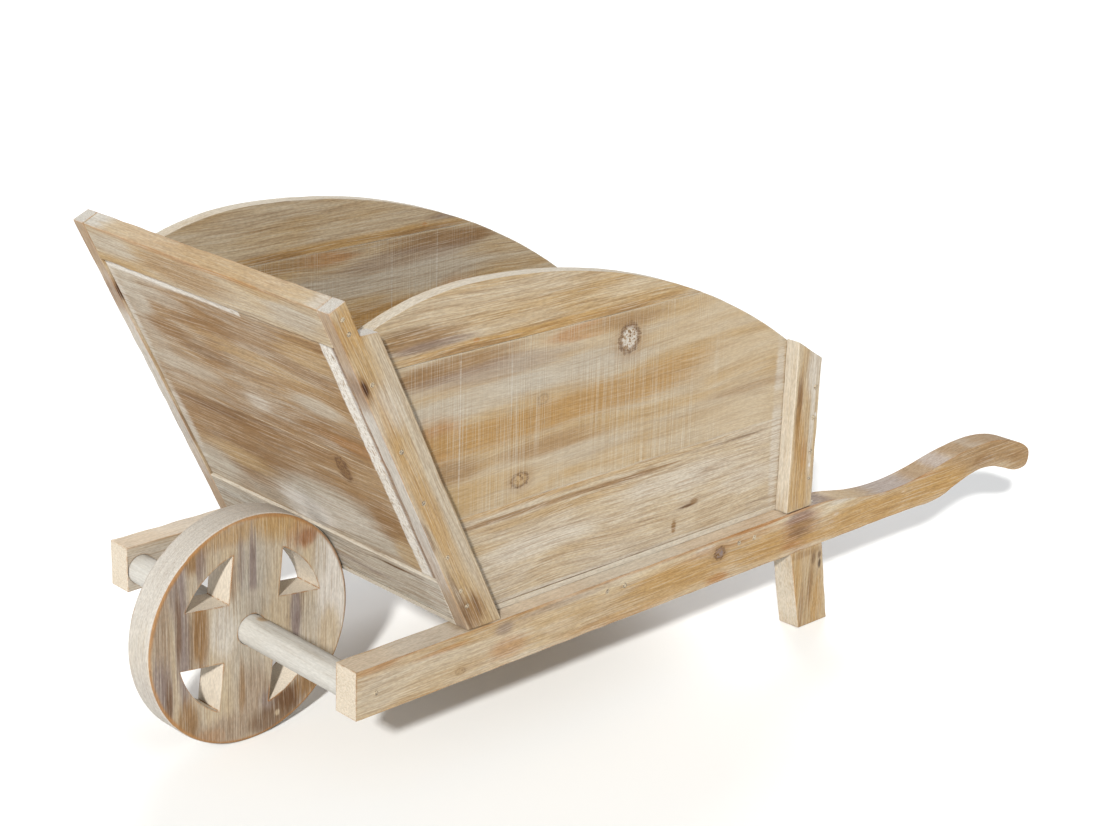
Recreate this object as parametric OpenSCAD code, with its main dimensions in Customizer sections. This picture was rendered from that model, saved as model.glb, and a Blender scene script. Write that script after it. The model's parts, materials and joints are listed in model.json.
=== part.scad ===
// Wooden wheelbarrow planter: two long rails that end in handles, a solid wooden wheel on a
// fixed axle, a box with a leaning front, and two short legs. Units are millimetres.
// +X runs from the wheel to the handles, +Y is the right-hand side of the person who pushes,
// +Z is up, and the ground is Z = 0. The origin is under the middle of the object.

/* [Rails] */
// Height of the rails' top edge above the ground
rail_top_z = 118; // [110:1:126]
// Height of a rail
rail_h = 40; // [36:1:44]
// Thickness of a rail
rail_t = 24; // [22:1:28]
// Width over both rails
frame_w = 323; // [300:1:350]
// Distance from the rails' front ends to the handle tips
rail_len = 854; // [830:1:880]

/* [Wheel] */
// Diameter of the wheel
wheel_d = 191; // [180:1:200]
// Thickness of the wheel
wheel_t = 29; // [24:1:34]
// Width of the cross that the four cut-outs leave
spoke_w = 48; // [36:1:60]
// Distance from the wheel's centre to the cut-outs' curved side
cutout_r = 69; // [62:1:74]
// Turn of the cross at rest, in degrees
wheel_turn = 7; // [0:1:45]
// Rounding of the wheel's two outer edges
wheel_edge_r = 3; // [1:0.5:5]
// Diameter of the axle
axle_d = 25; // [20:1:28]
// Distance from the rails' front ends to the axle's centre
axle_x = 14; // [14:0.5:20]
// Depth of the blind hole for the axle in each rail
axle_hole_depth = 12; // [8:1:16]
// Radial gap between the axle and the wheel
wheel_gap = 0.5; // [0.3:0.1:1]

/* [Box] */
// Distance from the rails' front ends to the foot of the front
front_foot_x = 110; // [105:0.5:120]
// Lean of the front from the vertical, in degrees
front_lean = 25.8; // [22:0.2:28]
// Length of the front, measured up its slope
front_len = 307.5; // [290:0.5:320]
// Thickness of the front's frame
front_frame_t = 16; // [14:0.5:20]
// Height of the front's bottom rail, measured up the slope from the foot
front_bottom_s = 45; // [36:1:55]
// Height of the front's top rail
front_top_h = 35; // [30:1:45]
// Slope distance of the seam between the two front boards
front_seam_s = 149; // [120:1:180]
// Distance of the front boards behind the face of their frame
front_recess = 2.5; // [1:0.5:4]
// Thickness of the boards
board_t = 12.5; // [10:0.5:15]
// Thickness of the corner posts
post_t = 14; // [12:0.5:16]
// Depth of a front post
front_post_d = 31; // [26:0.5:36]
// Height of the step in the back of a front post, above the rails
front_step_z = 256; // [240:1:262]
// Distance of the posts inside the rails' outer faces
post_inset = 1; // [0:0.5:3]
// Distance from the rails' front ends to the front of a rear post
rear_post_x = 483; // [470:1:490]
// Depth of a rear post
rear_post_d = 33; // [28:1:38]
// Height of a rear post above the rails, at its front
rear_post_z = 158; // [150:1:160]
// Height of a rear post above the rails, at its back
rear_post_low_z = 137.5; // [130:0.5:140]
// Height of the rear boards' top above the rails
rear_board_z = 130; // [120:1:132]
// Thickness of the floor sheet
floor_t = 5; // [4:0.5:8]

/* [Side arch] */
// Distance from the rails' front ends to the highest point of the arch
arch_x = 122; // [115:1:140]
// Height of the arch above the rails
arch_z = 270.5; // [262:0.5:280]
// Radius of the arch in front of its highest point
arch_front_r = 260; // [240:5:300]
// Radius of the arch behind its highest point
arch_rear_r = 630; // [620:5:680]
// Height of the seam between the lower and the middle side board
side_seam_low_z = 87; // [70:1:110]
// Height of the seam between the middle and the upper side board
side_seam_high_z = 219; // [200:1:225]
// Distance from the rails' front ends to the side boards' upright front edge
side_front_x = 22; // [20:0.5:26]

/* [Legs] */
// Depth of a leg at its top
leg_top_d = 43; // [38:1:48]
// Depth of a leg at the ground
leg_foot_d = 40; // [34:1:44]
// Distance from the rails' front ends to the front of a leg's top
leg_x = 492; // [486:1:496]
// Distance that a leg's foot stands behind its top
leg_splay = 18; // [10:1:24]
// Thickness of a leg
leg_t = 23; // [20:1:24]

/* [Cross bearers] */
// Height of a bearer
bearer_h = 20; // [16:1:26]
// Width of a bearer
bearer_w = 40; // [30:1:50]
// Distances from the rails' front ends to the middle of each bearer
bearer_x = [270, 430];

/* [Hidden] */
$fn = 48;

LEFT = -1;
RIGHT = 1;
rail_half = frame_w / 2;
rail_in = rail_half - rail_t;
post_half = rail_half - post_inset;
board_half = post_half - post_t;
board_in = board_half - board_t;
box_end_x = rear_post_x + rear_post_d;
axle_z = wheel_d / 2 - rail_top_z;
nose_x = axle_x - wheel_d / 2;
middle_x = (nose_x + rail_len) / 2;

// The top of a handle, from the straight rail to the tip of the grip:
// [distance in front of the tip, height above the rail's top edge]
HANDLE_TOP = [[324, 0], [294, -4], [254, -11.5], [214, -13.5], [174, -10.5], [134, -4.5],
              [89, -1], [54, -3.5], [24, -12], [5, -22], [0, -31]];
// The bottom of a handle, from the tip back to the straight rail:
// [distance in front of the tip, height above the rail's bottom edge]
HANDLE_BOTTOM = [[4, -1], [22, -2], [46, 6], [64, 11.5], [82, 13], [102, 11], [122, 6],
                 [142, 0.5], [164, -1.5], [194, -0.5], [254, 0]];
// Steps between two points of the handle's outline
HANDLE_STEPS = 4;
// Step along the arch of the sides
ARCH_STEP = 10;
// Height at which the side boards' front edge stops following the leaning front
upright_z = (front_foot_x + front_frame_t / cos(front_lean) - side_front_x) / tan(front_lean);

// Nail and screw sizes: [shank radius, length, head radius, head thickness, head's stand-out]
BRAD = [0.9, 34, 1.9, 1, 0.3];
LONG_BRAD = [1.1, 44, 2.2, 1.2, 0.3];
LEG_NAIL = [1.4, 74, 2.6, 1.4, 0.3];
TACK = [0.8, 18, 1.8, 0.9, 0.2];
COVERED_TACK = [0.8, 18, 1.8, 0.9, 0];
WOOD_SCREW = [2, 66, 3.8, 3, 0];
// Where brads enter the front posts: [depth from the face, slope distance]
FRONT_NAILS = [[8, 20], [8, 36], [9, 70], [9, 125], [9, 175], [9, 238], [8, 284], [8, 297]];
// Heights above the rails of the tacks in the side boards' front and rear ends
SIDE_FRONT_Z = [30, 64, 108, 150, 196, 232];
SIDE_REAR_Z = [26, 62, 100, 128];
// Heights above the rails of the brads into the rear boards' ends
REAR_NAIL_Z = [28, 52, 84, 112];
// Places of the tacks that hold the floor sheet down on a rail
FLOOR_NAIL_X = [160, 240, 320, 400, 480];

// Brings a shape from the rails' own frame (front end and top edge at zero) to the ground.
module placed()
    translate([-middle_x, 0, rail_top_z]) children();

// An outline of [x, z] points made into a board that is t thick, from y = y0.
module board(outline, y0, t)
    placed() translate([0, y0 + t, 0]) rotate([90, 0, 0]) linear_extrude(t) polygon(outline);

// Where a board t thick starts on one side, when its outer face is at distance out.
function side_y(side, out, t) = side == LEFT ? -out : out - t;

// A point at depth d behind the front's face, and at slope distance s from its foot.
function slope_pt(d, s) = [front_foot_x + d * cos(front_lean) - s * sin(front_lean),
                           d * sin(front_lean) + s * cos(front_lean)];
// A point at depth d behind the front's face, and at height z.
function slope_at(d, z) = [front_foot_x + d / cos(front_lean) - z * tan(front_lean), z];

// Height of the sides' arch at distance x.
function arch(x) =
    let (r = x < arch_x ? arch_front_r : arch_rear_r)
    arch_z - r + sqrt(r * r - (x - arch_x) * (x - arch_x));
// Distance at which the rear part of the arch comes down to height z.
function arch_x_at(z) =
    arch_x + sqrt(arch_rear_r * arch_rear_r - pow(z - arch_z + arch_rear_r, 2));

// A point of a smooth curve through the points p, at share t between points i and i + 1.
function curve_pt(p, i, t) =
    let (a = p[max(i - 1, 0)], b = p[i], c = p[i + 1], d = p[min(i + 2, len(p) - 1)])
    (2 * b + (c - a) * t + (2 * a - 5 * b + 4 * c - d) * t * t
     + (3 * b - a - 3 * c + d) * t * t * t) / 2;
function curve(p, n) =
    concat([for (i = [0 : len(p) - 2], k = [0 : n - 1]) curve_pt(p, i, k / n)], [p[len(p) - 1]]);

// ---- Rails with their handles ----

module rail(side) {
    top = [for (p = HANDLE_TOP) [rail_len - p[0], p[1]]];
    bottom = [for (p = HANDLE_BOTTOM) [rail_len - p[0], p[1] - rail_h]];
    outline = concat([[0, -rail_h], [0, 0]], curve(concat(top, bottom), HANDLE_STEPS));
    difference() {
        board(outline, side_y(side, rail_half, rail_t), rail_t);
        axle_rod(axle_d);
    }
}

module left_rail() color("burlywood") rail(LEFT);

module right_rail() color("burlywood") rail(RIGHT);

// ---- Axle and wheel ----

module axle_rod(d)
    placed() translate([axle_x, 0, axle_z]) rotate([90, 0, 0])
        cylinder(d = d, h = 2 * (rail_in + axle_hole_depth), center = true);

module axle() color("linen") axle_rod(axle_d);

// Half of the rim's section, with a rounded edge at each face.
module wheel_section() {
    r = wheel_d / 2;
    translate([0, -wheel_t / 2]) square([r - wheel_edge_r, wheel_t]);
    translate([0, wheel_edge_r - wheel_t / 2]) square([r, wheel_t - 2 * wheel_edge_r]);
    for (s = [-1, 1])
        translate([r - wheel_edge_r, s * (wheel_t / 2 - wheel_edge_r)]) circle(wheel_edge_r);
}

// One cut-out: a quarter disc whose two straight sides lie along the cross.
module wheel_cutout()
    intersection() {
        cylinder(r = cutout_r, h = wheel_t + 2, center = true, $fn = 96);
        translate([spoke_w / 2, spoke_w / 2, -wheel_t]) cube([cutout_r, cutout_r, 2 * wheel_t]);
    }

module wheel()
    color("tan") placed() translate([axle_x, 0, axle_z]) rotate([90, wheel_turn, 0])
        difference() {
            rotate_extrude($fn = 128) wheel_section();
            cylinder(d = axle_d + 2 * wheel_gap, h = wheel_t + 2, center = true);
            for (quarter = [0 : 3]) rotate(quarter * 90) wheel_cutout();
        }

// ---- Front of the box ----

// A leaning post: its front part rises to the top of the front, its back part ends in a step.
module front_post(side) {
    outline = [slope_at(0, 0), slope_at(front_post_d, 0), slope_at(front_post_d, front_step_z),
               slope_at(front_frame_t, front_step_z), slope_pt(front_frame_t, front_len),
               slope_pt(0, front_len)];
    board(outline, side_y(side, post_half, post_t), post_t);
}

module left_front_post() color("burlywood") front_post(LEFT);

module right_front_post() color("burlywood") front_post(RIGHT);

// A piece that spans the front between the two posts.
module front_span(outline) board(outline, -board_half, 2 * board_half);

module front_top_rail()
    color("wheat") front_span([slope_pt(0, front_len - front_top_h),
                               slope_pt(front_frame_t, front_len - front_top_h),
                               slope_pt(front_frame_t, front_len), slope_pt(0, front_len)]);

module front_bottom_rail()
    color("wheat") front_span([slope_at(0, floor_t), slope_at(front_frame_t, floor_t),
                               slope_pt(front_frame_t, front_bottom_s),
                               slope_pt(0, front_bottom_s)]);

module front_board(s0, s1) {
    d0 = front_recess;
    d1 = front_recess + board_t;
    front_span([slope_pt(d0, s0), slope_pt(d1, s0), slope_pt(d1, s1), slope_pt(d0, s1)]);
}

module front_board_lower() color("tan") front_board(front_bottom_s, front_seam_s);

module front_board_upper() color("tan") front_board(front_seam_s, front_len - front_top_h);

// ---- Sides of the box ----

// The front end of the side boards at height z: along the leaning front's back, then upright.
function side_start(z) = [max(slope_at(front_frame_t, z)[0], side_front_x), z];

module side_board(side, outline) board(outline, side_y(side, board_half, board_t), board_t);

module side_board_lower(side)
    side_board(side, [side_start(floor_t), [box_end_x, floor_t],
                      [box_end_x, side_seam_low_z], side_start(side_seam_low_z)]);

module side_board_middle(side) {
    end_x = arch_x_at(side_seam_high_z);
    arch_pts = [for (x = [box_end_x : -ARCH_STEP : end_x + 1]) [x, arch(x)]];
    turn = upright_z < side_seam_high_z ? [side_start(upright_z)] : [];
    side_board(side, concat([side_start(side_seam_low_z), [box_end_x, side_seam_low_z]],
                            arch_pts, [[end_x, side_seam_high_z]],
                            [side_start(side_seam_high_z)], turn));
}

module side_board_upper(side) {
    end_x = arch_x_at(side_seam_high_z);
    arch_pts = [for (x = [end_x - ARCH_STEP : -ARCH_STEP : side_front_x + 2]) [x, arch(x)]];
    turn = upright_z > side_seam_high_z ? [side_start(upright_z)] : [];
    side_board(side, concat([side_start(side_seam_high_z), [end_x, side_seam_high_z]],
                            arch_pts, [[side_front_x, arch(side_front_x)]], turn));
}

module left_side_board_lower() color("tan") side_board_lower(LEFT);

module left_side_board_middle() color("burlywood") side_board_middle(LEFT);

module left_side_board_upper() color("wheat") side_board_upper(LEFT);

module right_side_board_lower() color("tan") side_board_lower(RIGHT);

module right_side_board_middle() color("burlywood") side_board_middle(RIGHT);

module right_side_board_upper() color("wheat") side_board_upper(RIGHT);

// ---- Rear of the box and its floor ----

module rear_post(side)
    board([[rear_post_x, 0], [box_end_x, 0], [box_end_x, rear_post_low_z],
           [rear_post_x, rear_post_z]], side_y(side, post_half, post_t), post_t);

module left_rear_post() color("burlywood") rear_post(LEFT);

module right_rear_post() color("burlywood") rear_post(RIGHT);

module rear_board(z0, z1)
    placed() translate([box_end_x - board_t, -board_in, z0])
        cube([board_t, 2 * board_in, z1 - z0]);

module rear_board_lower() color("tan") rear_board(floor_t, (floor_t + rear_board_z) / 2);

module rear_board_upper() color("wheat") rear_board((floor_t + rear_board_z) / 2, rear_board_z);

module floor_sheet()
    color("moccasin") board([slope_at(0, 0), [box_end_x, 0], [box_end_x, floor_t],
                             slope_at(0, floor_t)], -board_half, 2 * board_half);

// ---- Bearers and legs ----

module bearer(x)
    placed() translate([x - bearer_w / 2, -rail_in, -bearer_h])
        cube([bearer_w, 2 * rail_in, bearer_h]);

module front_bearer() color("tan") bearer(bearer_x[0]);

module rear_bearer() color("tan") bearer(bearer_x[1]);

module leg(side) {
    foot_x = leg_x + leg_splay;
    board([[leg_x, -rail_h], [leg_x + leg_top_d, -rail_h], [foot_x + leg_foot_d, -rail_top_z],
           [foot_x, -rail_top_z]], side_y(side, rail_half, leg_t), leg_t);
}

module left_leg() color("burlywood") leg(LEFT);

module right_leg() color("burlywood") leg(RIGHT);

// ---- Nails and screws ----

// A fastener whose head is at the origin and whose shank points down.
module fastener(f) {
    translate([0, 0, f[4] - f[3]]) cylinder(r = f[2], h = f[3], $fn = 20);
    translate([0, 0, f[4] - f[1]]) cylinder(r = f[0], h = f[1] - f[3], $fn = 16);
}

// A fastener driven into a side face at distance out, towards the middle.
module driven_in(side, x, z, out, f)
    placed() translate([x, side * out, z]) rotate([-side * 90, 0, 0]) fastener(f);

// A fastener driven from the inside of the box into a post.
module driven_out(side, x, z, f)
    placed() translate([x, side * board_in, z]) rotate([side * 90, 0, 0]) fastener(f);

module driven_down(side, x, y, z, f)
    placed() translate([x, side * y, z]) fastener(f);

module driven_up(side, x, y, z, f)
    placed() translate([x, side * y, z]) rotate([180, 0, 0]) fastener(f);

module front_nails()
    color("silver") for (side = [LEFT, RIGHT], p = FRONT_NAILS) {
        at = slope_pt(p[0], p[1]);
        driven_in(side, at[0], at[1], post_half, BRAD);
    }

module side_nails() {
    depth = (front_frame_t + front_post_d) / 2;
    color("silver") for (side = [LEFT, RIGHT]) {
        for (z = SIDE_FRONT_Z) driven_out(side, slope_at(depth, z)[0], z, TACK);
        for (z = SIDE_REAR_Z) driven_out(side, rear_post_x + 9, z, TACK);
    }
}

module rear_nails()
    color("silver") for (side = [LEFT, RIGHT], z = REAR_NAIL_Z)
        driven_in(side, box_end_x - board_t / 2, z, post_half, LONG_BRAD);

module floor_nails()
    color("silver") for (side = [LEFT, RIGHT]) {
        for (x = FLOOR_NAIL_X)
            driven_down(side, x, (rail_in + board_half) / 2, floor_t, COVERED_TACK);
        for (x = bearer_x, y = [rail_in / 4, rail_in * 3 / 4])
            driven_down(side, x, y, floor_t, TACK);
    }

module axle_nails()
    color("silver") for (side = [LEFT, RIGHT])
        driven_in(side, axle_x + 5, axle_z, rail_half, BRAD);

module bearer_nails()
    color("silver") for (side = [LEFT, RIGHT], x = bearer_x, end = [-1, 1])
        driven_in(side, x + end * bearer_w / 4, -bearer_h / 2, rail_half, LONG_BRAD);

module post_screws()
    color("silver") for (side = [LEFT, RIGHT], x = [front_foot_x + 17, rear_post_x + 4])
        driven_up(side, x, post_half - post_t / 2, -rail_h, WOOD_SCREW);

module leg_nails()
    color("silver") for (side = [LEFT, RIGHT], inset = [leg_t / 3, leg_t * 2 / 3])
        driven_down(side, box_end_x + 7, rail_half - inset, 0, LEG_NAIL);

left_rail();
right_rail();
axle();
wheel();
left_front_post();
right_front_post();
front_top_rail();
front_bottom_rail();
front_board_lower();
front_board_upper();
left_side_board_lower();
left_side_board_middle();
left_side_board_upper();
right_side_board_lower();
right_side_board_middle();
right_side_board_upper();
left_rear_post();
right_rear_post();
rear_board_lower();
rear_board_upper();
floor_sheet();
front_bearer();
rear_bearer();
left_leg();
right_leg();
front_nails();
side_nails();
rear_nails();
floor_nails();
axle_nails();
bearer_nails();
post_screws();
leg_nails();
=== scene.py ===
"""Looks of the wooden wheelbarrow: worn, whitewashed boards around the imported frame. Metres."""
import json
import math

import bmesh
import bpy
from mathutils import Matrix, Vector, noise


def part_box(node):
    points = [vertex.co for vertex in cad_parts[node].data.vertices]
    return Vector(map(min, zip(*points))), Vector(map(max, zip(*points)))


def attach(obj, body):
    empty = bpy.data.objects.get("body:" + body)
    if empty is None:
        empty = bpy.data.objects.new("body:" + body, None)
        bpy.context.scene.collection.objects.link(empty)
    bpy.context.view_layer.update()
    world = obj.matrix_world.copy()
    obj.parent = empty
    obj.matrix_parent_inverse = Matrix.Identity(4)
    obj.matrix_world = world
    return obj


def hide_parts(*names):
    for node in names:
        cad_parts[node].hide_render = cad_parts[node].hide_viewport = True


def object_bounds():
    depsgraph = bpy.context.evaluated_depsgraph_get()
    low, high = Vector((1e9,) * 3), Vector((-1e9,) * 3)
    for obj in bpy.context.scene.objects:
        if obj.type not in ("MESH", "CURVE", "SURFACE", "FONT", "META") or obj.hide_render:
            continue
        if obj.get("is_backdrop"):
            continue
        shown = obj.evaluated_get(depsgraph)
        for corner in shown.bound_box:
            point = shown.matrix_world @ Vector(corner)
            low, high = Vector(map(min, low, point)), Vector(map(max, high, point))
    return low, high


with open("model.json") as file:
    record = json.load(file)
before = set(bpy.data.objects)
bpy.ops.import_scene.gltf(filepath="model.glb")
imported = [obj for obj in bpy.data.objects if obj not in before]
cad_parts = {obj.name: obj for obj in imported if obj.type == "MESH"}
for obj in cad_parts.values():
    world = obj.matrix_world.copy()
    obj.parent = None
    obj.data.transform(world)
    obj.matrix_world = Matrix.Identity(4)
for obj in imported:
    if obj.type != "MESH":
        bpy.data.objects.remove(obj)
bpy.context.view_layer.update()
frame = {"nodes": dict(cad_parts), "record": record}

MM = 0.001
BODY_OF = {node: body for body, nodes in frame["record"]["behaviour"]["bodies"].items()
           for node in nodes}

# ---- Places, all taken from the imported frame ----

RAIL_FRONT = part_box("left_rail")[0].x
RAIL_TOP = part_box("floor_sheet")[0].z
BOARD_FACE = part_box("left_side_board_lower")[0].y
AXLE_LOW, AXLE_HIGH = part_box("axle")
WHEEL_LOW, WHEEL_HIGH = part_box("wheel")
AXLE = (AXLE_LOW + AXLE_HIGH) / 2
LEG_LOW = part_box("left_leg")[0]
REAR_POST_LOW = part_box("left_rear_post")[0]
FLOOR_LOW, FLOOR_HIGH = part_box("floor_sheet")

X, Y, Z = Vector((1, 0, 0)), Vector((0, 1, 0)), Vector((0, 0, 1))
# Up the slope of the leaning front, and from its face back into the box
LEAN = math.radians(25.8)
FRONT_FOOT = Vector((FLOOR_LOW.x + (FLOOR_HIGH.z - FLOOR_LOW.z) * math.tan(LEAN), 0, RAIL_TOP))
UP_SLOPE = Vector((-math.sin(LEAN), 0, math.cos(LEAN)))
INTO_BOX = Vector((math.cos(LEAN), 0, math.sin(LEAN)))

# ---- Tones of the wood ----

# Share of a tone that the wood reflects: the light on it is brighter than 1
REFLECTED = 0.68


def srgb(red, green, blue):
    """A linear colour from 0-255 screen values, as the lit wood shows it."""
    def linear(value):
        value /= 255
        return REFLECTED * (value / 12.92 if value <= 0.04045 else ((value + 0.055) / 1.055) ** 2.4)
    return (linear(red), linear(green), linear(blue), 1.0)


CREAM = srgb(224, 215, 199)
MILK = srgb(214, 211, 204)
CHALK = srgb(213, 205, 193)
WASH = srgb(192, 181, 164)
PALE = srgb(210, 192, 162)
BEIGE = srgb(200, 181, 152)
TAN = srgb(190, 161, 117)
GOLD = srgb(188, 151, 96)
ORANGE = srgb(176, 124, 70)
BROWN = srgb(151, 116, 76)
UMBER = srgb(118, 88, 62)
DARK = srgb(72, 52, 38)
HAZEL = srgb(170, 139, 100)
ASH = srgb(184, 178, 167)
PLUM = srgb(144, 128, 122)
LILAC = srgb(196, 183, 174)
# A dark stain, and also painted shade where the posts stand on the rails
SOOT_AND_SHADE = srgb(84, 52, 30)
BARE = srgb(176, 142, 98)
RUBBED = srgb(172, 126, 78)
AMBER = srgb(180, 142, 88)
# Painted light: the paler tone of the walls inside the wheel's rim
PAINTED_WALL_LIGHT = srgb(238, 225, 206)
HUSK = srgb(186, 168, 142)
DUN = srgb(168, 148, 127)
FROST = srgb(232, 226, 218)
RESIDUE = srgb(234, 228, 219)
LEDGE = srgb(232, 214, 190)
RUST = srgb(154, 104, 68)
WALL = srgb(213, 207, 198)
NAIL_WASH = srgb(206, 188, 158)
NAIL_STEEL = srgb(118, 102, 84)
# A dark line of the grain multiplies the wood's colour by this
LINE_SHADE = (0.60, 0.50, 0.41, 1.0)

# ---- Shader nodes ----

# Sockets of a Mix node that mixes colours
MIX_FACTOR, MIX_A, MIX_B, MIX_RESULT = 0, 6, 7, 2
BUMP_STRENGTH = 0.8
GRAIN_DEPTH = 0.35 * MM
SAW_HEIGHT = 0.5
ARRIS_WIDTH = 2.2 * MM
# Noise scales along the grain, across it and through the timber, per mm
BROAD = (0.007, 0.055, 0.055)
CLOUD = (0.012, 0.032, 0.032)
FINE = (0.015, 0.42, 0.42)
PORES = (0.024, 1.0, 1.0)
FIBRE = (0.25, 0.95, 0.95)
WANDER = (0.006, 0.016, 1.0)
BAND_ALONG = (0.12, 0.85, 0.85)
BAND_ACROSS = (0.6, 0.16, 0.16)
KNOT_GRIT = (0.32, 0.32, 0.0)
SAW_LINES = (0.9, 0.005, 1.0)
SAW_GROUPS = (0.020, 0.014, 1.0)
END_PITS = (0.5, 0.6, 0.6)
ARRIS_PATCHES = (0.03, 0.2, 0.2)
# A timber's seed moves it this far through the noises, in mm
SEED_SHIFT = (37.0, 61.0, 23.0)


class Graph:
    """Adds nodes to one new material, and returns their output sockets."""

    def __init__(self, name):
        self.material = bpy.data.materials.new(name)
        self.material.use_nodes = True
        self.nodes = self.material.node_tree.nodes
        self.links = self.material.node_tree.links
        self.nodes.clear()

    def put(self, socket, value):
        """Links the value to an input socket, if it is a socket too, or sets it there."""
        if isinstance(value, bpy.types.NodeSocket):
            self.links.new(value, socket)
        else:
            socket.default_value = value

    def node(self, kind, **settings):
        made = self.nodes.new(kind)
        for key, value in settings.items():
            setattr(made, key, value)
        return made

    def math(self, operation, a, b=0.0):
        made = self.node("ShaderNodeMath", operation=operation)
        self.put(made.inputs[0], a)
        self.put(made.inputs[1], b)
        return made.outputs[0]

    def vector(self, operation, a, b=(0.0, 0.0, 0.0)):
        made = self.node("ShaderNodeVectorMath", operation=operation)
        self.put(made.inputs[0], a)
        self.put(made.inputs[1], b)
        scalar = operation in ("DOT_PRODUCT", "LENGTH")
        return made.outputs["Value" if scalar else "Vector"]

    def join(self, x, y, z):
        made = self.node("ShaderNodeCombineXYZ")
        for socket, value in zip(made.inputs, (x, y, z)):
            self.put(socket, value)
        return made.outputs[0]

    def step(self, value, start, end, low=0.0, high=1.0):
        """Goes smoothly from low to high as the value goes from start to end."""
        made = self.node("ShaderNodeMapRange", interpolation_type="SMOOTHSTEP")
        for socket, setting in zip(made.inputs, (value, start, end, low, high)):
            self.put(socket, setting)
        return made.outputs[0]

    def noise(self, vector, stretch, detail=2.0, roughness=0.5):
        """Noise of the vector, with its three directions scaled by stretch."""
        made = self.node("ShaderNodeTexNoise")
        self.put(made.inputs["Vector"], self.vector("MULTIPLY", vector, stretch))
        made.inputs["Scale"].default_value = 1.0
        made.inputs["Detail"].default_value = detail
        made.inputs["Roughness"].default_value = roughness
        return made.outputs[0]

    def mix(self, factor, a, b, blend="MIX"):
        """Colour a where the factor is 0, and b, or a blended with b, where it is 1."""
        made = self.node("ShaderNodeMix", data_type="RGBA", blend_type=blend)
        self.put(made.inputs[MIX_FACTOR], factor)
        self.put(made.inputs[MIX_A], a)
        self.put(made.inputs[MIX_B], b)
        return made.outputs[MIX_RESULT]

    def finish(self, colour, roughness, height, depth, specular):
        """Ends the material. The bump of the height goes as deep as the given metres."""
        bump = self.node("ShaderNodeBump")
        bump.inputs["Strength"].default_value = BUMP_STRENGTH
        bump.inputs["Distance"].default_value = depth
        self.put(bump.inputs["Height"], height)
        shader = self.node("ShaderNodeBsdfPrincipled")
        self.put(shader.inputs["Base Color"], colour)
        self.put(shader.inputs["Roughness"], roughness)
        self.put(shader.inputs["Normal"], bump.outputs[0])
        shader.inputs["Specular IOR Level"].default_value = specular
        output = self.node("ShaderNodeOutputMaterial")
        self.links.new(shader.outputs[0], output.inputs["Surface"])
        return self.material


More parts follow.
